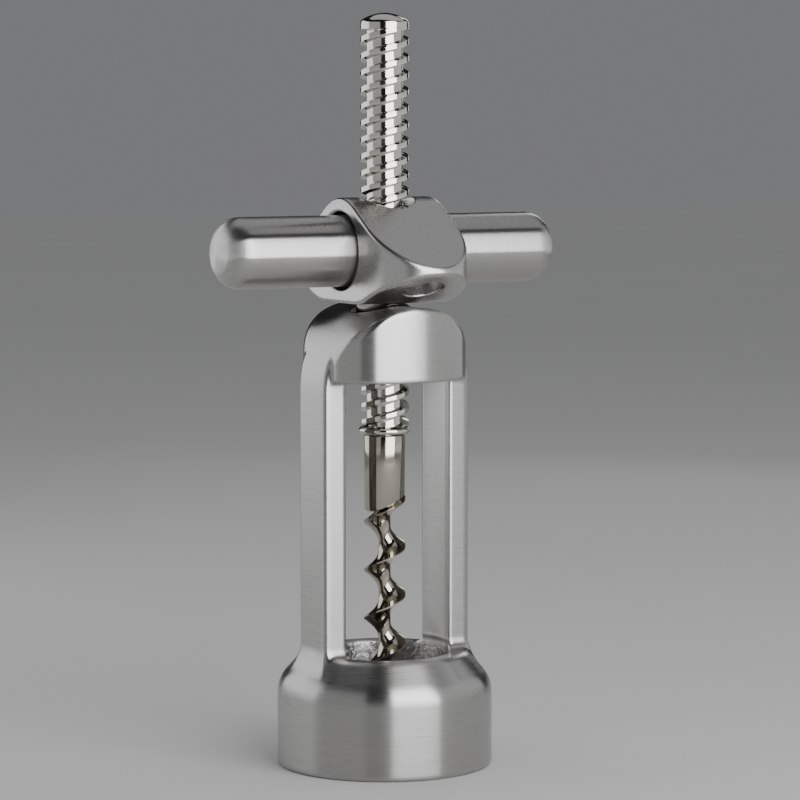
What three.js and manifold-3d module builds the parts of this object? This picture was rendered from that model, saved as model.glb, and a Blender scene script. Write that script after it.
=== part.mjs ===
// Screw-lift bell corkscrew, millimetres, +Z up.
// The origin is the centre of the bell's bottom face. X runs along the bar, Z is the screw's axis.
import * as THREE from 'three';
import { mergeVertices } from 'three/addons/utils/BufferGeometryUtils.js';
import Module from 'manifold-3d';

const wasm = await Module();
wasm.setup();

const GAP = 0.3; // clearance between touching pieces
const PAST = 1; // how far a cutting tool runs past the face it cuts
const ROUND = 48; // segments of a large round
const SMALL_ROUND = 24; // segments of a small round

// Bell
const BELL_R = 21.5;
const BELL_SIDE_TOP = 16.7;
const BELL_EDGE = 2.2; // round between the side and the shoulder
const BELL_FOOT_CHAMFER = 0.5;
const SHOULDER_R = 16.5;
const SHOULDER_TOP = 22.7;
const MOUTH_R = 12.8;
const BORE_R = 15.5; // takes the bottle lip
const BORE_TOP = 17.6; // the lip stops here

// Legs and bridge
const LEG_OUT = 16.9;
const LEG_HALF_DEPTH = 5.4;
const LEG_CHAMFER = 0.45;
const WINDOW_R = MOUTH_R; // upright bore that hollows the legs' inner faces
const LEG_STOCK = 3; // metal left inside the leg's face before that bore
const LEG_FOOT = 18;
const BRIDGE_UNDER = 77.4;
const ARCH_Z = 75.2; // the arch over the legs is round about this height
const BRIDGE_R = 16.1; // front and back of the bridge
const BRIDGE_BORE_R = 6.4;
const BRIDGE_LIP_R = 5.4;
const BRIDGE_LIP = 1.5;

// Screw
const LEAD = 6.6;
const STARTS = 2;
const PITCH = LEAD / STARTS;
const THREAD_R = 4.83;
const ROOT_R = 3.65;
const CREST = 0.35 * PITCH;
const THREAD_FOOT = 1.75; // rib width at the root
const TURN_STEPS = 16;
const SPINDLE_BOTTOM = 68;
const CREST_DROP = 2.4; // the crest at +X starts this far below the spindle's lower end
const SPINDLE_TOP = 149.0;
const THREAD_TOP = 146.3; // a plain band stands above it
const CAP_RISE = 0.8;
const CAP_EDGE = 0.5; // chamfer round the top
const SOCKET_R = 2.5;
const SOCKET_TOP = 80;

// Guide and thrust pieces in the bridge
const GUIDE_R = 5.15; // runs on the thread's crests
const WASHER_THICK = 1.1;
const SLEEVE_R = 5.7;
const SLEEVE_BOTTOM = 89.4;
const SLEEVE_TOP = 108;
const SLEEVE_RIB_IN = 4.1;
const SLEEVE_RIB_CREST = 0.6;
const SLEEVE_RIB_FOOT = 1.1;
const SLEEVE_RIB_UP = 3; // from the sleeve's lower end to the ribs
const SLEEVE_RIB_TURNS = 2;

// Hub and bar
const AXIS_Z = 103;
const HUB_HALF = 10.4; // half width between the flat ends
const HUB_RIDGE_R = 10.5;
const HUB_BOTTOM = -10.3; // flat underside, from the bar's axis
const HUB_STRAIGHT = 10.8; // the flat ends reach this far forward
const HUB_NOSE = 11.9; // and the rounded nose this much farther
const HUB_UPPER_SLOPE = 34; // degrees
const HUB_LOWER_SLOPE = 23;
const HUB_NOSE_BOTTOM = -4.2; // lower edge of the nose band, from the bar's axis
const HUB_BAR_R = 7.75;
const HUB_SPINDLE_R = 6.0;
const BAR_R = 7.05;
const BAR_LENGTH = 75.2;
const BAR_ROUND = 4.8;
const BAR_DOME = 0.5;
const RECESS_R = 4.0;
const RECESS_Y = -15.5;
const RECESS_DEPTH = 3;
const SCREW_R = 1.5;
const SCREW_LENGTH = 6;
const HEX_R = 0.9;
const HEX_DEPTH = 2;

// Stop ring, shank, worm and pin
const RING_R = 5.15;
const RING_BOTTOM = 66.5;
const RING_TOP = 67.6;
const SHANK_R = 4.1;
const SHANK_TOP = 66.2;
const SHANK_LOW = 50.9; // slanted lower end
const SHANK_HIGH = 54.4;
const TENON_R = 2.2;
const TENON_TOP = 79;
const PIN_Z = 73.6;
const PIN_R = 0.8;
const PIN_LENGTH = 7;
const WORM_R = 4.2;
const WORM_CORE = 1.3;
const WORM_PITCH = 9.7;
const WORM_CREST = 34.8; // height of one crest at +X
const WORM_RIB = 5.4; // rib width at the core
const WORM_TIP = 12.5;
const WORM_STEPS = 20;
const WORM_TAPER = 0.6; // turns over which the rib grows from the tip
const CORE_TAPER = 0.7; // turns over which the core grows

const rad = THREE.MathUtils.degToRad;

// Turns a closed geometry into a solid that can be cut and joined.
function solid(geometry) {
  const bare = geometry.index ? geometry.toNonIndexed() : geometry.clone();
  for (const name of Object.keys(bare.attributes)) {
    if (name !== 'position') bare.deleteAttribute(name);
  }
  const merged = mergeVertices(bare, 1e-5);
  const mesh = new wasm.Mesh({
    numProp: 3,
    vertProperties: new Float32Array(merged.attributes.position.array),
    triVerts: new Uint32Array(merged.index.array),
  });
  return new wasm.Manifold(mesh);
}

// Turns a solid back into a geometry.
function geometryOf(body) {
  const mesh = body.getMesh();
  const geometry = new THREE.BufferGeometry();
  geometry.setAttribute('position', new THREE.BufferAttribute(new Float32Array(mesh.vertProperties), 3));
  geometry.setIndex(new THREE.BufferAttribute(new Uint32Array(mesh.triVerts), 1));
  return geometry;
}

// Upright solid of revolution from [radius, height] points that start and end on the axis.
function turned(points, segments = ROUND) {
  const profile = points.map(([r, z]) => new THREE.Vector2(r, z));
  const geometry = new THREE.LatheGeometry(profile, segments);
  geometry.rotateX(Math.PI / 2);
  return geometry;
}

// Upright round rod.
function rod(radius, bottom, top, segments = ROUND) {
  return solid(turned([[0, bottom], [radius, bottom], [radius, top], [0, top]], segments));
}

// Upright prism over a plan outline.
function upright(shape, bottom, top, curveSegments = 12) {
  const depth = top - bottom;
  const geometry = new THREE.ExtrudeGeometry(shape, { depth, bevelEnabled: false, curveSegments });
  geometry.translate(0, 0, bottom);
  return solid(geometry);
}

// Round rod along Y at a given place, from y0 to y1.
function rodAlongY(radius, y0, y1, x, z, segments = SMALL_ROUND) {
  const geometry = new THREE.CylinderGeometry(radius, radius, y1 - y0, segments);
  geometry.translate(x, (y0 + y1) / 2, z);
  return solid(geometry);
}

// Round rod along X at a given height.
function rodAlongX(radius, length, z, segments = ROUND) {
  const geometry = new THREE.CylinderGeometry(radius, radius, length, segments);
  geometry.rotateZ(Math.PI / 2);
  geometry.translate(0, 0, z);
  return solid(geometry);
}

// Closed helical rib: each section is a list of [radius, height] corners that climbs with the angle.
function helicalRib(section, bottom, turns, lead, phase, steps) {
  const count = Math.ceil(turns * steps);
  const corners = section(0).length;
  const positions = [];
  for (let i = 0; i <= count; i += 1) {
    const angle = phase + (2 * Math.PI * i) / steps;
    const height = bottom + (lead * i) / steps;
    for (const [r, z] of section(i / count)) {
      positions.push(r * Math.cos(angle), r * Math.sin(angle), height + z);
    }
  }
  const index = [];
  for (let i = 0; i < count; i += 1) {
    for (let j = 0; j < corners; j += 1) {
      const a = i * corners + j;
      const b = i * corners + ((j + 1) % corners);
      index.push(a, a + corners, b, b, a + corners, b + corners);
    }
  }
  const last = count * corners;
  for (let j = 1; j < corners - 1; j += 1) {
    index.push(0, j, j + 1);
    index.push(last, last + j + 1, last + j);
  }
  const geometry = new THREE.BufferGeometry();
  geometry.setAttribute('position', new THREE.Float32BufferAttribute(positions, 3));
  geometry.setIndex(index);
  return solid(geometry);
}

// Trapezoid rib section between two radii, the foot on the inner or the outer radius.
function trapezoid(footR, crestR, foot, crest) {
  const points = [[footR, -foot / 2], [crestR, -crest / 2], [crestR, crest / 2], [footR, foot / 2]];
  return crestR > footR ? points : points.reverse();
}

function bellProfile() {
  const points = [[0, 0], [BELL_R - BELL_FOOT_CHAMFER, 0], [BELL_R, BELL_FOOT_CHAMFER]];
  const edgeSteps = 4;
  const turn = Math.atan2(BELL_R - SHOULDER_R, SHOULDER_TOP - BELL_SIDE_TOP);
  for (let i = 0; i <= edgeSteps; i += 1) {
    const angle = (turn * i) / edgeSteps;
    const inward = BELL_EDGE * (1 - Math.cos(angle));
    points.push([BELL_R - inward, BELL_SIDE_TOP + BELL_EDGE * Math.sin(angle) - BELL_EDGE / 2]);
  }
  points.push([SHOULDER_R, SHOULDER_TOP], [0, SHOULDER_TOP]);
  return points;
}

function legOutline(side) {
  const shape = new THREE.Shape();
  const inner = WINDOW_R - LEG_STOCK;
  shape.moveTo(side * inner, -LEG_HALF_DEPTH);
  shape.lineTo(side * (LEG_OUT - LEG_CHAMFER), -LEG_HALF_DEPTH);
  shape.lineTo(side * LEG_OUT, -LEG_HALF_DEPTH + LEG_CHAMFER);
  shape.lineTo(side * LEG_OUT, LEG_HALF_DEPTH - LEG_CHAMFER);
  shape.lineTo(side * (LEG_OUT - LEG_CHAMFER), LEG_HALF_DEPTH);
  shape.lineTo(side * inner, LEG_HALF_DEPTH);
  shape.closePath();
  return shape;
}

// Solid under the arch, as wide as the legs, cut from a prism along Y.
function archSolid() {
  const shape = new THREE.Shape();
  shape.moveTo(-LEG_OUT, 0);
  shape.lineTo(LEG_OUT, 0);
  shape.lineTo(LEG_OUT, ARCH_Z);
  shape.absarc(0, ARCH_Z, LEG_OUT, 0, Math.PI, false);
  shape.closePath();
  const depth = 2 * (BELL_R + PAST);
  const geometry = new THREE.ExtrudeGeometry(shape, { depth, bevelEnabled: false, curveSegments: 32 });
  geometry.translate(0, 0, -depth / 2);
  geometry.rotateX(Math.PI / 2);
  return solid(geometry);
}

function cageFrame() {
  const top = ARCH_Z + LEG_OUT + PAST;
  let upper = rod(BRIDGE_R, BRIDGE_UNDER, top, 64);
  for (const side of [-1, 1]) {
    upper = upper.add(upright(legOutline(side), LEG_FOOT, top));
  }
  upper = upper.intersect(archSolid());
  upper = upper.subtract(rod(WINDOW_R, LEG_FOOT - PAST, BRIDGE_UNDER));
  let body = solid(turned(bellProfile(), 64)).add(upper);
  body = body.subtract(rod(BORE_R, -PAST, BORE_TOP));
  body = body.subtract(rod(MOUTH_R, BORE_TOP - PAST, SHOULDER_TOP + PAST));
  body = body.subtract(rod(BRIDGE_BORE_R, BRIDGE_UNDER + BRIDGE_LIP, top + PAST, SMALL_ROUND));
  body = body.subtract(rod(BRIDGE_LIP_R, BRIDGE_UNDER - PAST, top, SMALL_ROUND));
  return geometryOf(body);
}

// Plain ring with a square section.
function ring(inner, outer, bottom, top) {
  return turned([[inner, bottom], [outer, bottom], [outer, top], [inner, top], [inner, bottom]], SMALL_ROUND);
}

const WASHER_TOP = SLEEVE_BOTTOM - GAP;
const BUSH_TOP = WASHER_TOP - WASHER_THICK - GAP;

function bridgeBush() {
  return ring(GUIDE_R, BRIDGE_BORE_R - GAP, BRIDGE_UNDER + BRIDGE_LIP + GAP, BUSH_TOP);
}

function thrustWasher() {
  return ring(GUIDE_R, BRIDGE_BORE_R - GAP, BUSH_TOP + GAP, WASHER_TOP);
}

// Sleeve nut: its two ribs run in the middle of the spindle's grooves.
function threadedSleeve() {
  const ribBottom = SLEEVE_BOTTOM + SLEEVE_RIB_UP;
  let body = solid(ring(GUIDE_R, SLEEVE_R, SLEEVE_BOTTOM, SLEEVE_TOP));
  const section = () => trapezoid(GUIDE_R + GAP, SLEEVE_RIB_IN, SLEEVE_RIB_FOOT, SLEEVE_RIB_CREST);
  const climbed = (ribBottom - SPINDLE_BOTTOM + CREST_DROP - PITCH / 2) / LEAD;
  for (let start = 0; start < STARTS; start += 1) {
    const phase = 2 * Math.PI * (climbed + start / STARTS);
    body = body.add(helicalRib(section, ribBottom, SLEEVE_RIB_TURNS, LEAD, phase, TURN_STEPS));
  }
  return geometryOf(body);
}

function threadedSpindle() {
  const coreTop = SPINDLE_TOP - (THREAD_R - ROOT_R) / 2;
  let body = rod(ROOT_R, SPINDLE_BOTTOM, coreTop, TURN_STEPS);
  const section = () => trapezoid(ROOT_R - GAP, THREAD_R, THREAD_FOOT, CREST);
  const ribBottom = SPINDLE_BOTTOM - CREST_DROP - LEAD; // one turn too low, cut off below
  const turns = (THREAD_TOP - ribBottom) / LEAD + 1;
  for (let start = 0; start < STARTS; start += 1) {
    const phase = (2 * Math.PI * start) / STARTS;
    body = body.add(helicalRib(section, ribBottom, turns, LEAD, phase, TURN_STEPS));
  }
  body = body.intersect(rod(THREAD_R + PAST, SPINDLE_BOTTOM, THREAD_TOP, TURN_STEPS));
  const bandBottom = THREAD_TOP - CREST / 2;
  const head = [[0, bandBottom], [THREAD_R, bandBottom], [THREAD_R, SPINDLE_TOP - CAP_EDGE]];
  head.push([THREAD_R - CAP_EDGE, SPINDLE_TOP], [THREAD_R / 2, SPINDLE_TOP + 0.75 * CAP_RISE]);
  head.push([0, SPINDLE_TOP + CAP_RISE]);
  body = body.add(solid(turned(head, SMALL_ROUND)));
  body = body.subtract(rod(SOCKET_R, SPINDLE_BOTTOM - PAST, SOCKET_TOP, TURN_STEPS));
  body = body.subtract(rodAlongX(PIN_R + GAP, 2 * THREAD_R + PAST, PIN_Z, 12));
  return geometryOf(body);
}

// Plan outline of the hub: straight sides and an elliptical nose front and back.
function hubPlan() {
  const shape = new THREE.Shape();
  shape.moveTo(HUB_HALF, -HUB_STRAIGHT);
  shape.lineTo(HUB_HALF, HUB_STRAIGHT);
  shape.absellipse(0, HUB_STRAIGHT, HUB_HALF, HUB_NOSE, 0, Math.PI, false, 0);
  shape.lineTo(-HUB_HALF, -HUB_STRAIGHT);
  shape.absellipse(0, -HUB_STRAIGHT, HUB_HALF, HUB_NOSE, Math.PI, 2 * Math.PI, false, 0);
  return shape;
}

// Side outline of the hub, about the bar's axis: a round ridge that runs out in flat facets to both
// noses, a flat underside and two lower facets.
function hubSideOutline() {
  const upper = rad(HUB_UPPER_SLOPE);
  const lower = Math.tan(rad(HUB_LOWER_SLOPE));
  const noseY = HUB_STRAIGHT + HUB_NOSE;
  const farY = noseY + PAST;
  const farTop = (HUB_RIDGE_R - farY * Math.sin(upper)) / Math.cos(upper);
  const farBottom = HUB_NOSE_BOTTOM + PAST * lower;
  const landY = noseY - (HUB_NOSE_BOTTOM - HUB_BOTTOM) / lower;
  const shape = new THREE.Shape();
  shape.moveTo(landY, HUB_BOTTOM);
  shape.lineTo(farY, farBottom);
  shape.lineTo(farY, farTop);
  shape.absarc(0, 0, HUB_RIDGE_R, Math.PI / 2 - upper, Math.PI / 2 + upper, false);
  shape.lineTo(-farY, farTop);
  shape.lineTo(-farY, farBottom);
  shape.lineTo(-landY, HUB_BOTTOM);
  shape.closePath();
  return shape;
}

function hubBody() {
  const width = 2 * (HUB_HALF + PAST);
  const extrusion = { depth: width, bevelEnabled: false, curveSegments: 10 };
  const sides = new THREE.ExtrudeGeometry(hubSideOutline(), extrusion);
  sides.translate(0, 0, -width / 2);
  sides.rotateY(Math.PI / 2); // the extrusion now runs along X
  sides.rotateX(Math.PI / 2); // and the outline's height along Z
  sides.translate(0, 0, AXIS_Z);
  const reach = HUB_RIDGE_R + PAST;
  let body = solid(sides).intersect(upright(hubPlan(), AXIS_Z - reach, AXIS_Z + reach, 14));
  body = body.subtract(rodAlongX(HUB_BAR_R, width + PAST, AXIS_Z));
  body = body.subtract(rod(HUB_SPINDLE_R, AXIS_Z - reach, AXIS_Z + reach, 32));
  body = body.subtract(rodAlongY(SCREW_R + GAP, 0, HUB_STRAIGHT + HUB_NOSE + PAST, 0, AXIS_Z));
  return geometryOf(body.subtract(recessCutter()));
}

// Round blind recess under the front nose, square to the lower facet.
function recessCutter() {
  const slope = rad(HUB_LOWER_SLOPE);
  const fromNose = HUB_STRAIGHT + HUB_NOSE + RECESS_Y;
  const facetZ = AXIS_Z + HUB_NOSE_BOTTOM - fromNose * Math.tan(slope);
  const profile = [[0, -PAST], [RECESS_R, -PAST], [RECESS_R, RECESS_DEPTH], [0, RECESS_DEPTH]];
  const geometry = turned(profile, SMALL_ROUND);
  geometry.rotateX(-slope);
  geometry.translate(0, RECESS_Y, facetZ);
  return solid(geometry);
}

function handleBar() {
  const half = BAR_LENGTH / 2;
  const shoulder = half - BAR_ROUND - BAR_DOME;
  const steps = 5;
  const end = [];
  for (let i = 0; i <= steps; i += 1) {
    const angle = (Math.PI / 2) * (i / steps);
    end.push([BAR_R - BAR_ROUND * (1 - Math.cos(angle)), shoulder + BAR_ROUND * Math.sin(angle)]);
  }
  end.push([0, half]);
  const mirrored = end.map(([r, z]) => [r, -z]).reverse();
  const geometry = turned([...mirrored, ...end], ROUND);
  geometry.rotateY(Math.PI / 2);
  geometry.translate(0, 0, AXIS_Z);
  const cross = rod(HUB_SPINDLE_R, AXIS_Z - BAR_R - PAST, AXIS_Z + BAR_R + PAST, 32);
  return geometryOf(solid(geometry).subtract(cross));
}

// Set screw from the back facet onto the bar, with a hexagon socket.
function barSetScrew() {
  const tip = BAR_R + GAP;
  const geometry = new THREE.CylinderGeometry(SCREW_R, SCREW_R, SCREW_LENGTH, SMALL_ROUND);
  geometry.translate(0, tip + SCREW_LENGTH / 2, AXIS_Z);
  const socketFrom = tip + SCREW_LENGTH - HEX_DEPTH;
  const socket = rodAlongY(HEX_R, socketFrom, socketFrom + HEX_DEPTH + PAST, 0, AXIS_Z, 6);
  return geometryOf(solid(geometry).subtract(socket));
}

function stopRing() {
  return ring(SOCKET_R, RING_R, RING_BOTTOM, RING_TOP);
}

// Worm in one piece with its shank and the tenon that stands in the spindle.
function wormWithShank() {
  const across = 2 * SHANK_R;
  const tilt = Math.atan2(SHANK_HIGH - SHANK_LOW, across);
  const cutter = new THREE.BoxGeometry(3 * across, 3 * across, across);
  cutter.translate(0, 0, -across / 2);
  cutter.rotateY(-tilt);
  cutter.translate(0, 0, (SHANK_HIGH + SHANK_LOW) / 2);
  let body = rod(SHANK_R, SHANK_LOW - PAST, SHANK_TOP, 32).subtract(solid(cutter));
  body = body.add(rod(TENON_R, SHANK_TOP - PAST, TENON_TOP, TURN_STEPS));
  body = body.subtract(rodAlongX(PIN_R + GAP, 2 * SHANK_R, PIN_Z, 12));
  const coreTop = SHANK_HIGH + PAST;
  const coreTaper = WORM_TIP + CORE_TAPER * WORM_PITCH;
  const core = [[0, WORM_TIP], [WORM_CORE, coreTaper], [WORM_CORE, coreTop], [0, coreTop]];
  body = body.add(solid(turned(core, 12)));
  const foot = WORM_CORE / 2;
  const ribBottom = WORM_TIP + WORM_RIB / 4;
  const turns = (coreTop - WORM_TIP) / WORM_PITCH;
  const section = (part) => {
    const grow = Math.min(1, (part * turns) / WORM_TAPER);
    const crestR = WORM_CORE + (WORM_R - WORM_CORE) * grow;
    const waistR = (WORM_CORE + crestR) / 2;
    const rib = WORM_RIB * (0.3 + 0.7 * grow);
    return [[foot, -rib / 2], [waistR, -rib / 5], [crestR, 0], [waistR, rib / 5], [foot, rib / 2]];
  };
  const phase = (2 * Math.PI * (ribBottom - WORM_CREST)) / WORM_PITCH;
  body = body.add(helicalRib(section, ribBottom, turns, WORM_PITCH, phase, WORM_STEPS));
  return geometryOf(body.intersect(rod(THREAD_R, WORM_TIP, TENON_TOP + PAST, 16)));
}

function wormCrossPin() {
  const geometry = new THREE.CylinderGeometry(PIN_R, PIN_R, PIN_LENGTH, 12);
  geometry.rotateZ(Math.PI / 2);
  geometry.translate(0, 0, PIN_Z);
  return geometry;
}

const satinSteel = { color: 0xb4b2ae, roughness: 0.36, metalness: 1 };
const polishedSteel = { color: 0xc9c4ba, roughness: 0.08, metalness: 1 };
const bronze = { color: 0xa9783f, roughness: 0.45, metalness: 1 };
const nylon = { color: 0xe6e2d6, roughness: 0.6, metalness: 0 };
const blackSteel = { color: 0x2b2b2c, roughness: 0.5, metalness: 1 };

const pieces = [
  ['cage_frame', cageFrame, satinSteel],
  ['bridge_bush', bridgeBush, bronze],
  ['thrust_washer', thrustWasher, nylon],
  ['nut_hub', hubBody, satinSteel],
  ['handle_bar', handleBar, satinSteel],
  ['threaded_sleeve', threadedSleeve, polishedSteel],
  ['bar_set_screw', barSetScrew, blackSteel],
  ['threaded_spindle', threadedSpindle, polishedSteel],
  ['stop_ring', stopRing, polishedSteel],
  ['worm', wormWithShank, polishedSteel],
  ['worm_cross_pin', wormCrossPin, polishedSteel],
];

const group = new THREE.Group();
for (const [name, make, look] of pieces) {
  const geometry = make();
  const mesh = new THREE.Mesh(geometry, new THREE.MeshStandardMaterial(look));
  mesh.name = name;
  group.add(mesh);
}

export default group;
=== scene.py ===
import math

import bpy
import numpy as np
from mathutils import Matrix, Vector


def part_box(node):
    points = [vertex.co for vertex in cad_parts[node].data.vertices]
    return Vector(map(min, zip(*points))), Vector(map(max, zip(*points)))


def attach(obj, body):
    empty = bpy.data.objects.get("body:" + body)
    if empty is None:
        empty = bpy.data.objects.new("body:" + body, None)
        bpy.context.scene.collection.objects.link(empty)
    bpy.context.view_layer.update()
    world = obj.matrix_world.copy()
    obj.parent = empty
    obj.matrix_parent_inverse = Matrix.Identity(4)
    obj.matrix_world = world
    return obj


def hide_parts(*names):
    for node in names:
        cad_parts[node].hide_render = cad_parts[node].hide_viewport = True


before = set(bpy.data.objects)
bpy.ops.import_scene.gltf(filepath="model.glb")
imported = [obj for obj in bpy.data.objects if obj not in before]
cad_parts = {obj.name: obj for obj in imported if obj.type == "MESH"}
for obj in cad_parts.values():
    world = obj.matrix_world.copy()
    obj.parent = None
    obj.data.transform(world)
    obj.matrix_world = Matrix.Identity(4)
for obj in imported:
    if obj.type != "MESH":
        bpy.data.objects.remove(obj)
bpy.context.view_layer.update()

MM = 0.001
TAU = 2 * math.pi
PAST = 1.0  # how far a cut reaches past the face that it opens


def node_box(node):
    """Lowest and highest corner of a CAD node in millimetres."""
    low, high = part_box(node)
    return np.array(low) / MM, np.array(high) / MM


CAGE_HIGH = node_box("cage_frame")[1]
HUB_LOW, HUB_HIGH = node_box("nut_hub")
BAR_LOW, BAR_HIGH = node_box("handle_bar")
SPINDLE_LOW, SPINDLE_HIGH = node_box("threaded_spindle")
RING_LOW, RING_HIGH = node_box("stop_ring")
WORM_LOW, WORM_HIGH = node_box("worm")
SLEEVE_LOW, SLEEVE_HIGH = node_box("threaded_sleeve")

# Bell, legs and bridge
BELL_R = CAGE_HIGH[0]
BELL_SIDE_TOP = 17.1
SHOULDER_TOP = 22.7
SHOULDER_R = 16.3
MOUTH_R = 12.8
BORE_R = 15.5
BORE_TOP = 17.6
LEG_OUT = 16.9
LEG_HALF_DEPTH = 5.4
WINDOW_R = MOUTH_R
BRIDGE_UNDER = 77.4
ARCH_Z = CAGE_HIGH[2] - LEG_OUT
BRIDGE_HALF_X = 15.7
BRIDGE_HALF_Y = 14.2
BRIDGE_SQUARENESS = 2.5
BRIDGE_BORE_R = 6.4
BRIDGE_LIP_R = 5.4
BRIDGE_LIP = 1.5
SHOULDER_ROUND = 1.8
RIM_ROUND = 0.8
FOOT_ROUND = 0.9
LEG_ROUND = 1.5
BRIDGE_EDGE = 0.6
BRIDGE_CREASE = 0.8  # round in the corner between a leg and the bridge's front
ARCH_ROUND = 1.0
WINDOW_EDGE = 0.5
LEG_FILLET = 2.4
BORE_EDGE = 0.6
BORE_CEILING_ROUND = 0.5
MOUTH_EDGE = 0.7
LIP_EDGE = 0.3
LEG_ROOT = 4.0  # how far the legs reach down into the shoulder
CAGE_VOXEL = 0.4

# Hub and bar
AXIS_Z = (BAR_LOW[2] + BAR_HIGH[2]) / 2
BAR_R = (BAR_HIGH[2] - BAR_LOW[2]) / 2
BAR_HALF = BAR_HIGH[0]
HUB_HALF = HUB_HIGH[0]
HUB_STRAIGHT = 10.8
HUB_NOSE = HUB_HIGH[1] - HUB_STRAIGHT
HUB_RIDGE_R = HUB_HIGH[2] - AXIS_Z
HUB_BOTTOM = AXIS_Z - HUB_LOW[2]
HUB_UPPER_SLOPE = math.radians(34)
HUB_LOWER_SLOPE = math.radians(23)
HUB_NOSE_BOTTOM = -4.2
HUB_BAR_R = 7.75
HUB_SPINDLE_R = 6.0
RECESS_R = 4.0
RECESS_Y = -15.5
RECESS_DEPTH = 3.0
SCREW_HOLE_R = 1.8
HUB_TOP_ROUND = 0.95
HUB_BOTTOM_ROUND = 0.8
HUB_LOWER_ROUND = 1.0
HUB_BAR_ROUND = 0.7
HUB_SPINDLE_ROUND = 0.6
RECESS_FLOOR_ROUND = 0.8
RECESS_EDGE = 0.35
SCREW_HOLE_EDGE = 0.3
HUB_VOXEL = 0.28
BAR_ROUND = 4.8
BAR_DOME = 0.5
FAR = 50.0  # stands for a distance on the side where a feature is absent

# Screw
LEAD = 6.6
THREAD_CREST = 0.15  # half of the crest, as a share of the pitch
THREAD_FLANK = 0.11
HELIX_STEP = 0.15
THREAD_R = SPINDLE_HIGH[0]
ROOT_R = 3.65  # at the foot of the thread
THREAD_TOP = 146.3
CREST_DROP = 2.4  # from the screw's lower end to a crest at +X
BAND_RISE = 0.3
CAP_EDGE = ((0.02, 1.85), (0.12, 1.62), (0.3, 1.4))  # inset from the thread and drop from the top
CAP_DOME_R = 7.6
CAP_RADII = (4.3, 3.9, 3.3, 2.6, 1.9, 1.2, 0.5, 0.01)
SLEEVE_BORE_R = 5.15
RING_BORE_R = 2.5
SHANK_R = 4.1
SHANK_TOP = 66.2
SHANK_LOW = 50.9
SHANK_HIGH = 54.4
WORM_R = WORM_HIGH[0]
WORM_PITCH = 9.7
WORM_CREST = 34.8  # height of one crest at +X
WORM_CORE = 1.2
WORM_LAND = 0.033  # half of the ridge's crest, as a share of half a turn
WORM_TIP_R = 0.05
WORM_TIP_TURNS = 0.75
SHANK_MIDDLE = (SHANK_HIGH + SHANK_LOW) / 2
SHANK_SLANT = (SHANK_HIGH - SHANK_LOW) / (2 * SHANK_R)
SHANK_EDGE = 0.3
TENON_R = 2.2


# ---------------------------------------------------------------- distance fields


def smooth_max(a, b, k):
    """Larger of two distances, rounded over the width k."""
    h = np.maximum(k - np.abs(a - b), 0) / k
    return np.maximum(a, b) + h * h * k / 4


def smooth_min(a, b, k):
    """Smaller of two distances, filleted over the width k."""
    return -smooth_max(-a, -b, k)


def cage_field(p):
    """Signed distance to the bell with its legs and domed bridge."""
    x, y, z = p.T
    r = np.hypot(x, y)
    side = np.array([SHOULDER_TOP - BELL_SIDE_TOP, BELL_R - SHOULDER_R])
    side /= np.linalg.norm(side)
    cone = (r - BELL_R) * side[0] + (z - BELL_SIDE_TOP) * side[1]
    bell = smooth_max(r - BELL_R, cone, SHOULDER_ROUND)
    bell = smooth_max(bell, z - SHOULDER_TOP, RIM_ROUND)
    bell = smooth_max(bell, -z, FOOT_ROUND)

    legs = smooth_max(np.abs(y) - LEG_HALF_DEPTH, np.abs(x) - LEG_OUT, LEG_ROUND)
    bulge = smooth_max(bridge_side(x, y), BRIDGE_UNDER - z, BRIDGE_EDGE)
    arch = np.where(z > ARCH_Z, np.hypot(x, z - ARCH_Z), np.abs(x)) - LEG_OUT
    upper = smooth_max(smooth_min(legs, bulge, BRIDGE_CREASE), arch, ARCH_ROUND)
    under = smooth_max(r - WINDOW_R, z - BRIDGE_UNDER, BRIDGE_EDGE)
    upper = smooth_max(upper, -under, WINDOW_EDGE)
    upper = np.maximum(upper, (SHOULDER_TOP - LEG_ROOT) - z)

    body = smooth_min(bell, upper, LEG_FILLET)
    body = smooth_max(body, -smooth_max(r - BORE_R, z - BORE_TOP, BORE_CEILING_ROUND), BORE_EDGE)
    mouth = np.maximum(r - MOUTH_R, z - SHOULDER_TOP - PAST)
    body = smooth_max(body, -mouth, MOUTH_EDGE)
    bore = np.maximum(r - BRIDGE_BORE_R, BRIDGE_UNDER + BRIDGE_LIP - z)
    lip = np.maximum(r - BRIDGE_LIP_R, BRIDGE_UNDER - PAST - z)
    return smooth_max(smooth_max(body, -bore, WINDOW_EDGE), -lip, LIP_EDGE)


def bridge_side(x, y):
    """Distance to the bridge's upright wall, which is a rounded oblong in plan."""
    n = BRIDGE_SQUARENESS
    across, ahead = np.abs(x) / BRIDGE_HALF_X, np.abs(y) / BRIDGE_HALF_Y
    size = np.maximum(across**n + ahead**n, 1e-9) ** (1 / n)
    slope = np.hypot(across ** (n - 1) / BRIDGE_HALF_X, ahead ** (n - 1) / BRIDGE_HALF_Y) * size ** (1 - n)
    return (size - 1) / np.maximum(slope, 1e-3)


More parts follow.
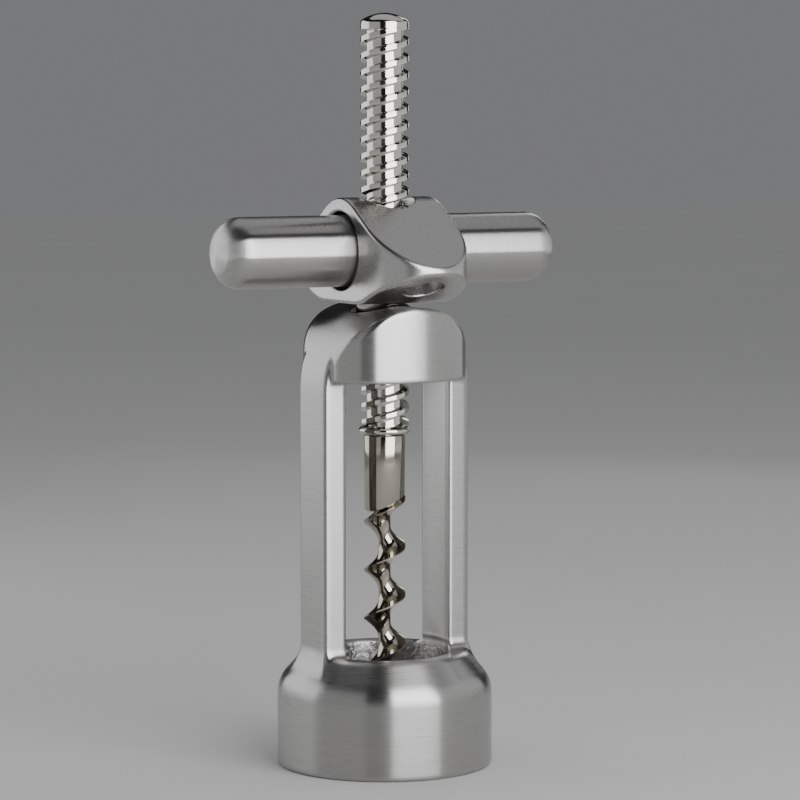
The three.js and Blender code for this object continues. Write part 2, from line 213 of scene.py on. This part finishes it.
def hub_field(p):
    """Signed distance to the nut hub, with its ridge, facets, noses, bores and recess."""
    x, y, z = p[:, 0], p[:, 1], p[:, 2] - AXIS_Z
    ahead = np.abs(y)
    past = np.maximum(ahead - HUB_STRAIGHT, 0)
    q = np.hypot(x / HUB_HALF, past / HUB_NOSE)
    slope = np.hypot(x / HUB_HALF**2, past / HUB_NOSE**2)
    plan = np.where(past > 0, (q - 1) * q / np.maximum(slope, 1e-6), np.abs(x) - HUB_HALF)
    facet = ahead * math.sin(HUB_UPPER_SLOPE) + z * math.cos(HUB_UPPER_SLOPE) - HUB_RIDGE_R
    on_ridge = ahead * math.cos(HUB_UPPER_SLOPE) < z * math.sin(HUB_UPPER_SLOPE)
    top = np.where(on_ridge, np.hypot(y, z) - HUB_RIDGE_R, facet)
    nose = HUB_STRAIGHT + HUB_NOSE
    lower = (ahead - nose) * math.sin(HUB_LOWER_SLOPE) - (z - HUB_NOSE_BOTTOM) * math.cos(HUB_LOWER_SLOPE)
    bottom = smooth_max(lower, -z - HUB_BOTTOM, HUB_LOWER_ROUND)
    body = smooth_max(smooth_max(top, plan, HUB_TOP_ROUND), bottom, HUB_BOTTOM_ROUND)
    body = smooth_max(body, HUB_BAR_R - np.hypot(y, z), HUB_BAR_ROUND)
    body = smooth_max(body, HUB_SPINDLE_R - np.hypot(x, y), HUB_SPINDLE_ROUND)
    uphill = (y - RECESS_Y) * math.cos(HUB_LOWER_SLOPE) - (z - recess_z()) * math.sin(HUB_LOWER_SLOPE)
    recess = smooth_max(np.hypot(x, uphill) - RECESS_R, -lower - RECESS_DEPTH, RECESS_FLOOR_ROUND)
    recess = np.where(y < 0, recess, FAR)
    body = smooth_max(body, -recess, RECESS_EDGE)
    screw = np.where(y > 0, np.hypot(x, z) - SCREW_HOLE_R, FAR)
    return smooth_max(body, -screw, SCREW_HOLE_EDGE)


def recess_z():
    """Height of the recess's middle on the lower facet, from the bar's axis."""
    nose = HUB_STRAIGHT + HUB_NOSE
    return HUB_NOSE_BOTTOM - (nose + RECESS_Y) * math.tan(HUB_LOWER_SLOPE)


def gradient(field, p, step=0.01):
    """Numerical gradient of a distance field."""
    out = np.empty_like(p)
    for axis in range(3):
        shift = np.zeros(3)
        shift[axis] = step
        out[:, axis] = (field(p + shift) - field(p - shift)) / (2 * step)
    return out


def snap(field, p, rounds):
    """Moves points onto the surface where the field is zero."""
    for _ in range(rounds):
        g = gradient(field, p)
        steepness = np.maximum((g * g).sum(1), 0.05)
        step = np.clip(field(p) / steepness, -1.0, 1.0)
        p = p - g * step[:, None]
    return p


# ---------------------------------------------------------------- mesh helpers


def new_object(name, verts_mm, faces, smooth_angle=None):
    """Mesh object from millimetre vertices, smooth shaded up to an angle in degrees."""
    mesh = bpy.data.meshes.new(name)
    mesh.from_pydata([tuple(v) for v in np.asarray(verts_mm) * MM], [], [tuple(f) for f in faces])
    mesh.validate()
    mesh.update()
    obj = bpy.data.objects.new(name, mesh)
    bpy.context.scene.collection.objects.link(obj)
    mesh.shade_smooth()
    if smooth_angle is not None:
        mesh.set_sharp_from_angle(angle=math.radians(smooth_angle))
    return obj


def sculpt_from_node(name, node, field, voxel_mm):
    """Voxel remesh of a CAD node whose points are then moved onto a rounded, filleted distance field."""
    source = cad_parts[node]
    copy = bpy.data.objects.new(name, source.data.copy())
    bpy.context.scene.collection.objects.link(copy)
    remesh = copy.modifiers.new("remesh", "REMESH")
    remesh.mode = "VOXEL"
    remesh.voxel_size = voxel_mm * MM
    depsgraph = bpy.context.evaluated_depsgraph_get()
    mesh = bpy.data.meshes.new_from_object(copy.evaluated_get(depsgraph))
    bpy.data.objects.remove(copy)
    count = len(mesh.vertices)
    p = np.empty(count * 3)
    mesh.vertices.foreach_get("co", p)
    p = p.reshape(-1, 3) / MM
    edges = np.empty(len(mesh.edges) * 2, dtype=np.int64)
    mesh.edges.foreach_get("vertices", edges)
    edges = edges.reshape(-1, 2)
    degree = np.bincount(edges.ravel(), minlength=count)[:, None]
    p = snap(field, p, 4)
    for _ in range(3):
        total = np.zeros_like(p)
        np.add.at(total, edges[:, 0], p[edges[:, 1]])
        np.add.at(total, edges[:, 1], p[edges[:, 0]])
        p = 0.5 * p + 0.5 * total / np.maximum(degree, 1)
        p = snap(field, p, 2)
    p = snap(field, p, 2)
    mesh.vertices.foreach_set("co", (p * MM).ravel())
    mesh.materials.clear()
    mesh.update()
    mesh.shade_smooth()
    obj = bpy.data.objects.new(name, mesh)
    bpy.context.scene.collection.objects.link(obj)
    return obj


def skin(rings, closed_ends=True):
    """Quads between equal rings of points, with a fan on each end."""
    rings = np.asarray(rings)
    rows, columns, _ = rings.shape
    verts = rings.reshape(-1, 3)
    faces = []
    for i in range(rows - 1):
        for j in range(columns):
            a = i * columns + j
            b = i * columns + (j + 1) % columns
            faces.append((a, b, b + columns, a + columns))
    if closed_ends:
        low = verts[:columns].mean(0)
        high = verts[-columns:].mean(0)
        verts = np.vstack([verts, low, high])
        first, last = len(verts) - 2, len(verts) - 1
        base = (rows - 1) * columns
        for j in range(columns):
            after = (j + 1) % columns
            faces.append((first, after, j))
            faces.append((last, base + j, base + after))
    return verts, faces


def turned(profile, segments):
    """Rings of an upright turned shape from (radius, height) points."""
    angles = np.arange(segments) * TAU / segments
    return [round_ring(r, angles, z) for r, z in profile]


def round_ring(r, angles, z):
    """Points at one height, with one radius or one for each angle."""
    return np.stack([r * np.cos(angles), r * np.sin(angles), np.full(len(angles), z)], 1)


def arc(centre_r, centre_z, radius, start, end, steps):
    """Points of a profile's round stretch, angles in degrees."""
    out = []
    for angle in np.radians(np.linspace(start, end, steps)):
        out.append((centre_r + radius * math.cos(angle), centre_z + radius * math.sin(angle)))
    return out


# ---------------------------------------------------------------- materials


class Nodes:
    """Short calls for one material's node tree, whose patterns have scales per metre."""

    def __init__(self, name):
        self.material = bpy.data.materials.new(name)
        self.material.use_nodes = True
        self.tree = self.material.node_tree
        self.shader = self.tree.nodes["Principled BSDF"]

    def add(self, kind, **values):
        """New node, with the given properties or socket values."""
        node = self.tree.nodes.new(kind)
        for key, value in values.items():
            if hasattr(node, key):
                setattr(node, key, value)
            else:
                node.inputs[key.replace("_", " ")].default_value = value
        return node

    def link(self, output, target):
        self.tree.links.new(output, target)

    def stretched(self, scale):
        """Object coordinates stretched by a scale for each axis."""
        place = self.add("ShaderNodeTexCoord")
        mapping = self.add("ShaderNodeMapping")
        mapping.inputs["Scale"].default_value = scale
        self.link(place.outputs["Object"], mapping.inputs["Vector"])
        return mapping.outputs["Vector"]

    def noise(self, vector, scale, detail=4.0, roughness=0.6):
        node = self.add("ShaderNodeTexNoise")
        node.inputs["Scale"].default_value = scale
        node.inputs["Detail"].default_value = detail
        node.inputs["Roughness"].default_value = roughness
        self.link(vector, node.inputs["Vector"])
        return node.outputs["Fac"]

    def span(self, value, low, high, from_low=0.3, from_high=0.7):
        """Stretches a value's range to low and high."""
        node = self.add("ShaderNodeMapRange")
        node.inputs["From Min"].default_value = from_low
        node.inputs["From Max"].default_value = from_high
        node.inputs["To Min"].default_value = low
        node.inputs["To Max"].default_value = high
        self.link(value, node.inputs["Value"])
        return node.outputs["Result"]

    def bump(self, height, strength, distance_mm, normal=None):
        node = self.add("ShaderNodeBump")
        node.inputs["Strength"].default_value = strength
        node.inputs["Distance"].default_value = distance_mm * MM
        self.link(height, node.inputs["Height"])
        if normal is not None:
            self.link(normal, node.inputs["Normal"])
        return node.outputs["Normal"]

    def blend_colour(self, fac, a, b):
        node = self.add("ShaderNodeMix")
        node.data_type = "RGBA"
        node.inputs[6].default_value = (*a, 1)
        node.inputs[7].default_value = (*b, 1)
        self.link(fac, node.inputs[0])
        return node.outputs[2]


EVEN = (1, 1, 1)  # scale of a pattern without a direction
SATIN = (0.46, 0.455, 0.45)
BRUSH_BUMP = 0.12
BRUSH_DEPTH = 0.01
CRINKLE_DEPTH = 0.22
SKIN_MARGIN = 0.35  # the cast skin reaches past the mouth's wall and stays under its rim by this much


def brushed_steel(name, stretch, turned_about, rough=(0.25, 0.33), anisotropy=0.92, cast=False):
    """Satin steel: fine brush lines round an axis, in height, roughness and shade."""
    n = Nodes(name)
    lines = n.noise(n.stretched(stretch), scale=1.0, detail=6.0, roughness=0.7)
    broad = n.noise(n.stretched(EVEN), scale=90.0, detail=3.0)
    dark = tuple(c * 0.86 for c in SATIN)
    light = tuple(c * 1.1 for c in SATIN)
    n.link(n.blend_colour(n.span(lines, 0, 1), dark, light), n.shader.inputs["Base Color"])
    mixed = n.add("ShaderNodeMath", operation="MULTIPLY_ADD")
    n.link(broad, mixed.inputs[0])
    mixed.inputs[1].default_value = 0.35
    n.link(lines, mixed.inputs[2])
    n.link(n.span(mixed.outputs[0], *rough, from_low=0.4, from_high=0.95), n.shader.inputs["Roughness"])
    normal = n.bump(lines, BRUSH_BUMP, BRUSH_DEPTH)
    if cast:
        normal = n.bump(cast_bore(n), 1.0, CRINKLE_DEPTH, normal)
    n.link(normal, n.shader.inputs["Normal"])
    n.shader.inputs["Metallic"].default_value = 1.0
    n.shader.inputs["Anisotropic"].default_value = anisotropy
    n.shader.inputs["Anisotropic Rotation"].default_value = 0.25
    tangent = n.add("ShaderNodeTangent", direction_type="RADIAL", axis=turned_about)
    n.link(tangent.outputs[0], n.shader.inputs["Tangent"])
    return n.material


def cast_bore(n):
    """Height of a crinkled cast skin, on the wall of the bell's mouth only."""
    place = n.add("ShaderNodeTexCoord")
    axes = n.add("ShaderNodeSeparateXYZ")
    n.link(place.outputs["Object"], axes.inputs[0])
    flat = n.add("ShaderNodeCombineXYZ")
    n.link(axes.outputs["X"], flat.inputs["X"])
    n.link(axes.outputs["Y"], flat.inputs["Y"])
    radius = n.add("ShaderNodeVectorMath", operation="LENGTH")
    n.link(flat.outputs[0], radius.inputs[0])
    near = n.add("ShaderNodeMath", operation="LESS_THAN")
    n.link(radius.outputs["Value"], near.inputs[0])
    near.inputs[1].default_value = (MOUTH_R + SKIN_MARGIN) * MM
    low = n.add("ShaderNodeMath", operation="LESS_THAN")
    n.link(axes.outputs["Z"], low.inputs[0])
    low.inputs[1].default_value = (SHOULDER_TOP - SKIN_MARGIN) * MM
    both = n.add("ShaderNodeMath", operation="MULTIPLY")
    n.link(near.outputs[0], both.inputs[0])
    n.link(low.outputs[0], both.inputs[1])
    crinkle = n.noise(n.stretched(EVEN), scale=900.0, detail=3.0, roughness=0.55)
    height = n.add("ShaderNodeMath", operation="MULTIPLY")
    n.link(crinkle, height.inputs[0])
    n.link(both.outputs[0], height.inputs[1])
    return height.outputs[0]


def polished_steel(name, colour=(0.68, 0.655, 0.61)):
    """Bright steel with faint turning marks and handling haze."""
    n = Nodes(name)
    marks = n.noise(n.stretched((300, 300, 3000)), scale=1.0, detail=3.0)
    haze = n.noise(n.stretched(EVEN), scale=250.0, detail=5.0)
    darker = tuple(c * 0.9 for c in colour)
    n.link(n.blend_colour(n.span(haze, 0, 1), darker, colour), n.shader.inputs["Base Color"])
    n.link(n.span(haze, low=0.06, high=0.14), n.shader.inputs["Roughness"])
    n.link(n.bump(marks, strength=0.25, distance_mm=0.004), n.shader.inputs["Normal"])
    n.shader.inputs["Metallic"].default_value = 1.0
    return n.material


def plain_part(name, colour, metallic, rough, grain):
    """Small inner parts: grainy surface in one colour."""
    n = Nodes(name)
    haze = n.noise(n.stretched(EVEN), scale=grain, detail=5.0)
    darker = tuple(c * 0.8 for c in colour)
    n.link(n.blend_colour(n.span(haze, 0, 1), darker, colour), n.shader.inputs["Base Color"])
    n.link(n.span(haze, rough * 0.85, rough * 1.2), n.shader.inputs["Roughness"])
    n.link(n.bump(haze, strength=0.3, distance_mm=0.02), n.shader.inputs["Normal"])
    n.shader.inputs["Metallic"].default_value = metallic
    return n.material


# Scales per metre, across the brush lines and along them
LINE = 9000
ALONG = 150
HUB_LINE = 5000
HUB_ALONG = 900
CAGE_STEEL = brushed_steel("cage_steel", (ALONG, ALONG, LINE), "Z", cast=True)
BAR_STEEL = brushed_steel("bar_steel", (LINE, ALONG, ALONG), "X")
HUB_STEEL = brushed_steel(
    "hub_steel", (HUB_LINE, HUB_ALONG, HUB_ALONG), "Z", rough=(0.26, 0.3), anisotropy=0.0
)
SCREW_STEEL = polished_steel("screw_steel")
# darker copy of the polished steel: its darkness is painted shade, standing in for the dark surroundings
# that the worm reflects
WORM_STEEL_PAINTED_SHADE = polished_steel("worm_steel_painted_shade", (0.5, 0.465, 0.4))
# darker copy of the polished steel: its darkness is painted shade for the shadowed gap between hub and
# bridge where the sleeve shows
SLEEVE_STEEL_PAINTED_SHADE = polished_steel("sleeve_steel_painted_shade", (0.5, 0.49, 0.47))
BRONZE = plain_part("bearing_bronze", (0.55, 0.36, 0.17), 1.0, 0.35, 900)
NYLON = plain_part("natural_nylon", (0.82, 0.8, 0.73), 0.0, 0.5, 700)
BLACK_OXIDE = plain_part("black_oxide", (0.04, 0.04, 0.045), 1.0, 0.45, 900)


def dress(obj, material):
    """Gives an object one material."""
    obj.data.materials.clear()
    obj.data.materials.append(material)


# ---------------------------------------------------------------- pieces


def build_cage():
    """Bell, legs and bridge, one casting."""
    obj = sculpt_from_node("cage_shell", "cage_frame", cage_field, CAGE_VOXEL)
    dress(obj, CAGE_STEEL)
    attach(obj, "frame")
    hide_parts("cage_frame")


def build_hub():
    """Faceted hub that holds the bar and the nut sleeve."""
    obj = sculpt_from_node("hub_block", "nut_hub", hub_field, HUB_VOXEL)
    dress(obj, HUB_STEEL)
    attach(obj, "handle")
    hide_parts("nut_hub")


def build_bar():
    """Round bar with rounded ends and a cross hole for the screw."""
    end = arc(BAR_R - BAR_ROUND, BAR_HALF - BAR_DOME - BAR_ROUND, BAR_ROUND, 0, 80, 14)
    end += [(1.2, BAR_HALF - 0.05), (0.01, BAR_HALF)]
    start = [(r, -z) for r, z in reversed(end)]
    lengths = np.linspace(start[-1][1], end[0][1], 60)[1:-1]
    profile = start + [(BAR_R, z) for z in lengths] + end
    rings = np.array(turned(profile, 96))
    rings = rings[:, :, [2, 1, 0]] * np.array([1, 1, -1])
    rings[:, :, 2] += AXIS_Z
    verts, faces = skin(rings)
    obj = new_object("t_bar", verts, faces)
    reach = BAR_R + 2 * PAST
    cutter_rings = turned([(HUB_SPINDLE_R, AXIS_Z - reach), (HUB_SPINDLE_R, AXIS_Z + reach)], 64)
    cutter = new_object("bar_cutter", *skin(cutter_rings))
    cut = obj.modifiers.new("cross_hole", "BOOLEAN")
    cut.operation = "DIFFERENCE"
    cut.object = cutter
    cut.solver = "EXACT"
    mesh = bpy.data.meshes.new_from_object(obj.evaluated_get(bpy.context.evaluated_depsgraph_get()))
    obj.modifiers.clear()
    obj.data = mesh
    bpy.data.objects.remove(cutter)
    mesh.shade_smooth()
    mesh.set_sharp_from_angle(angle=math.radians(40))
    dress(obj, BAR_STEEL)
    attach(obj, "handle")
    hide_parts("handle_bar")


def smooth_step(t):
    """Eased rise from 0 to 1."""
    t = np.clip(t, 0, 1)
    return t * t * (3 - 2 * t)


def helical_rings(profile, angles, heights, pitch, crest_height):
    """Rings whose columns follow a right-handed helix, with radii from the profile function."""
    rings = []
    for z in heights:
        theta = angles + TAU * (z - crest_height) / pitch
        rings.append(round_ring(profile(angles, theta, z), theta, z))
    return rings


def thread_angles():
    """Columns from crest to crest of the two starts, closer together on the flanks."""
    crest, flank = THREAD_CREST, THREAD_FLANK
    half = [0.0, crest / 2, crest * 0.92, crest + flank * 0.1, crest + flank * 0.5, crest + flank * 0.9]
    half += list(np.linspace(crest + flank * 1.15, 0.5, 7))
    one = half + [1 - t for t in reversed(half[1:-1])]
    return np.array([-(start + t) * TAU / 2 for start in (0, 1) for t in one])[::-1]


def thread_profile(angles, theta, z):
    """Two-start thread, which runs out under a plain band at the top."""
    part = (-2 * angles / TAU) % 1.0
    from_crest = np.minimum(part, 1 - part)
    drop = smooth_step((from_crest - THREAD_CREST) / THREAD_FLANK)
    band = smooth_step((z - THREAD_TOP) / BAND_RISE)
    return THREAD_R - (THREAD_R - ROOT_R) * drop * (1 - band)


def build_spindle():
    """Two-start screw with a plain band and a shallow dome on top."""
    top = SPINDLE_HIGH[2]
    heights = np.arange(SPINDLE_LOW[2], top - CAP_EDGE[0][1] - 0.1, HELIX_STEP)
    angles = thread_angles()
    crest = SPINDLE_LOW[2] - CREST_DROP
    rings = helical_rings(thread_profile, angles, heights, LEAD, crest)
    theta = angles + TAU * (heights[-1] - crest) / LEAD
    cap = [(THREAD_R - inset, top - drop) for inset, drop in CAP_EDGE]
    cap += [(r, top - r * r / (2 * CAP_DOME_R)) for r in CAP_RADII]
    rings += [round_ring(r, theta, z) for r, z in cap]
    obj = new_object("lift_screw", *skin(rings), smooth_angle=40)
    dress(obj, SCREW_STEEL)
    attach(obj, "spindle")
    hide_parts("threaded_spindle", "worm_cross_pin")


def tube(name, low, high, inner, edge, segments):
    """Upright tube between two corners of a CAD box, with its outer edges chamfered."""
    outer, bottom, top = high[0], low[2], high[2]
    profile = [(inner, bottom), (outer - edge, bottom), (outer, bottom + edge), (outer, top - edge)]
    profile += [(outer - edge, top), (inner, top), (inner, bottom)]
    return new_object(name, *skin(turned(profile, segments), closed_ends=False), smooth_angle=50)


def build_sleeve():
    """Sleeve nut in the hub and the bridge, with its bore left plain."""
    obj = tube("nut_sleeve", SLEEVE_LOW, SLEEVE_HIGH, SLEEVE_BORE_R, edge=0.3, segments=72)
    dress(obj, SLEEVE_STEEL_PAINTED_SHADE)
    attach(obj, "handle")
    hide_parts("threaded_sleeve")


def build_ring():
    """Thin stop ring at the lower end of the thread."""
    obj = tube("stop_collar", RING_LOW, RING_HIGH, RING_BORE_R, edge=0.25, segments=64)
    dress(obj, SCREW_STEEL)
    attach(obj, "lift_ring")
    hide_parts("stop_ring")


def worm_profile(angles, theta, z):
    """Thin ridge with hollow flutes on a slim core, fading to a point at the tip."""
    from_ridge = np.abs(angles) / math.pi
    hollow = (1 - np.clip((from_ridge - WORM_LAND) / (1 - WORM_LAND), 0, 1)) ** 3
    grow = np.clip((z - WORM_LOW[2]) / (WORM_TIP_TURNS * WORM_PITCH), 0, 1)
    core = WORM_TIP_R + (WORM_CORE - WORM_TIP_R) * grow
    r = core + (WORM_R - core) * hollow * grow**0.7
    inside = z > SHANK_MIDDLE + SHANK_SLANT * r * np.cos(theta)
    return np.where(inside, np.minimum(r, SHANK_R - 0.05), r)


def worm_angles():
    """Columns round the worm, closer together on its ridge."""
    ridge = [0.5, 1.0, 1.25, 1.7, 2.5, 3.5]
    half = np.concatenate([ridge, np.arange(5, 32, 2)]) / 31 * math.pi
    return np.concatenate([-half[::-1][1:], [0.0], half])


def shank_rings():
    """Rings of the plain shank, with a slanted lower end and a tenon on top."""
    profile = [(SHANK_R, 0.0), (SHANK_R, 0.5)]
    profile += arc(SHANK_R - SHANK_EDGE, SHANK_TOP - SHANK_EDGE, SHANK_EDGE, 0, 90, 5)
    profile += [(TENON_R, SHANK_TOP), (TENON_R, WORM_HIGH[2])]
    rings = turned(profile, 72)
    for ring, rise in ((rings[0], 0.0), (rings[1], 0.4)):
        ring[:, 2] = SHANK_MIDDLE + SHANK_SLANT * ring[:, 0] + rise
    rings[0][:, :2] *= (SHANK_R - 0.25) / SHANK_R
    return rings


def build_worm():
    """Worm and shank, which are one piece of steel."""
    heights = np.arange(WORM_LOW[2], SHANK_HIGH + 1, HELIX_STEP)
    worm = skin(helical_rings(worm_profile, worm_angles(), heights, WORM_PITCH, WORM_CREST))
    verts, faces = skin(shank_rings())
    offset = len(worm[0])
    verts = np.vstack([worm[0], verts])
    faces = worm[1] + [tuple(i + offset for i in face) for face in faces]
    obj = new_object("cork_worm", verts, faces, smooth_angle=55)
    dress(obj, WORM_STEEL_PAINTED_SHADE)
    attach(obj, "spindle")
    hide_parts("worm")


def dress_inner_nodes():
    """CAD nodes that stay as they are, with a finished material."""
    looks = {"bridge_bush": BRONZE, "thrust_washer": NYLON, "bar_set_screw": BLACK_OXIDE}
    for node, material in looks.items():
        dress(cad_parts[node], material)


# ---------------------------------------------------------------- studio

CAMERA_AZIMUTH = math.radians(-29.5)
CAMERA_DISTANCE = 671.9
CAMERA_HEIGHT = 132.5
AIM_HEIGHT = 73.05
AIM_RIGHT = 3.08
LENS = 152.2
LAMP_RADIANCE = 5.0
LAMPS = (
    # name, degrees right of the camera, distance, height, width, tall, share of radiance, height aimed at
    ("key_right", 34, 350, 235, 334, 420, 1.25, 235),
    ("side_right", 98, 350, 180, 527, 300, 0.14, 180),
    ("front_left", -50, 350, 180, 400, 300, 0.085, 180),
    ("side_left", -112, 352, 180, 463, 300, 0.3, 180),
    ("back", 166, 600, 290, 90, 340, 0.5, 290),
    ("top", 150, 250, 700, 900, 700, 0.1, 95),
)
SEEN_GREY = (0.19, 0.192, 0.196, 1)
FILL_GREY = (0.52, 0.525, 0.535, 1)
MIRRORED_GREY = (0.012, 0.013, 0.015, 1)
FLOOR_REACH = 3000


def around(angle, distance, height):
    """Point at an angle to the right of the camera's side of the object."""
    a = CAMERA_AZIMUTH + angle
    return Vector((math.sin(a) * distance, -math.cos(a) * distance, height)) * MM


def build_camera():
    """Long lens from the left of the open front, a little above the hub."""
    data = bpy.data.cameras.new("camera")
    data.sensor_width = 36
    data.lens = LENS
    camera = bpy.data.objects.new("camera", data)
    bpy.context.scene.collection.objects.link(camera)
    camera.location = around(0, CAMERA_DISTANCE, CAMERA_HEIGHT)
    right = Vector((math.cos(CAMERA_AZIMUTH), math.sin(CAMERA_AZIMUTH), 0))
    target = (right * AIM_RIGHT + Vector((0, 0, AIM_HEIGHT))) * MM
    camera.rotation_euler = (target - camera.location).to_track_quat("-Z", "Y").to_euler()
    bpy.context.scene.camera = camera


def softbox(name, angle, distance, height, width, tall, share, target_z):
    """Soft rectangular lamp that the camera doesn't see, aimed at the object's axis."""
    data = bpy.data.lights.new(name, "AREA")
    data.shape = "RECTANGLE"
    data.size = width * MM
    data.size_y = tall * MM
    data.energy = LAMP_RADIANCE * share * width * tall * MM * MM * math.pi
    lamp = bpy.data.objects.new(name, data)
    bpy.context.scene.collection.objects.link(lamp)
    lamp.location = around(math.radians(angle), distance, height)
    aim = Vector((0, 0, target_z * MM)) - lamp.location
    lamp.rotation_euler = aim.to_track_quat("-Z", "Y").to_euler()
    lamp.visible_camera = False


def build_world():
    """Grey surroundings: pale as fill light, mid grey behind the object and dark in its reflections."""
    world = bpy.data.worlds.new("studio")
    bpy.context.scene.world = world
    world.use_nodes = True
    tree = world.node_tree
    ray = tree.nodes.new("ShaderNodeLightPath")
    seen = tree.nodes.new("ShaderNodeMix")
    seen.data_type = "RGBA"
    seen.inputs[6].default_value = FILL_GREY
    seen.inputs[7].default_value = SEEN_GREY
    mirrored = tree.nodes.new("ShaderNodeMix")
    mirrored.data_type = "RGBA"
    mirrored.inputs[7].default_value = MIRRORED_GREY
    tree.links.new(ray.outputs["Is Camera Ray"], seen.inputs[0])
    tree.links.new(seen.outputs[2], mirrored.inputs[6])
    tree.links.new(ray.outputs["Is Glossy Ray"], mirrored.inputs[0])
    tree.links.new(mirrored.outputs[2], tree.nodes["Background"].inputs["Color"])


def build_floor():
    """Pale matt floor under the object."""
    corners = [(-1, -1, 0), (1, -1, 0), (1, 1, 0), (-1, 1, 0)]
    floor = new_object("floor", np.array(corners) * FLOOR_REACH, [(0, 1, 2, 3)])
    n = Nodes("pale_floor")
    haze = n.noise(n.stretched(EVEN), scale=6.0)
    n.link(n.blend_colour(haze, (0.355, 0.355, 0.35), (0.38, 0.38, 0.375)), n.shader.inputs["Base Color"])
    n.shader.inputs["Roughness"].default_value = 0.8
    n.shader.inputs["Specular IOR Level"].default_value = 0.0
    dress(floor, n.material)


build_camera()
build_cage()
build_hub()
build_bar()
build_spindle()
build_sleeve()
build_ring()
build_worm()
dress_inner_nodes()
build_world()
for lamp_row in LAMPS:
    softbox(*lamp_row)
build_floor()
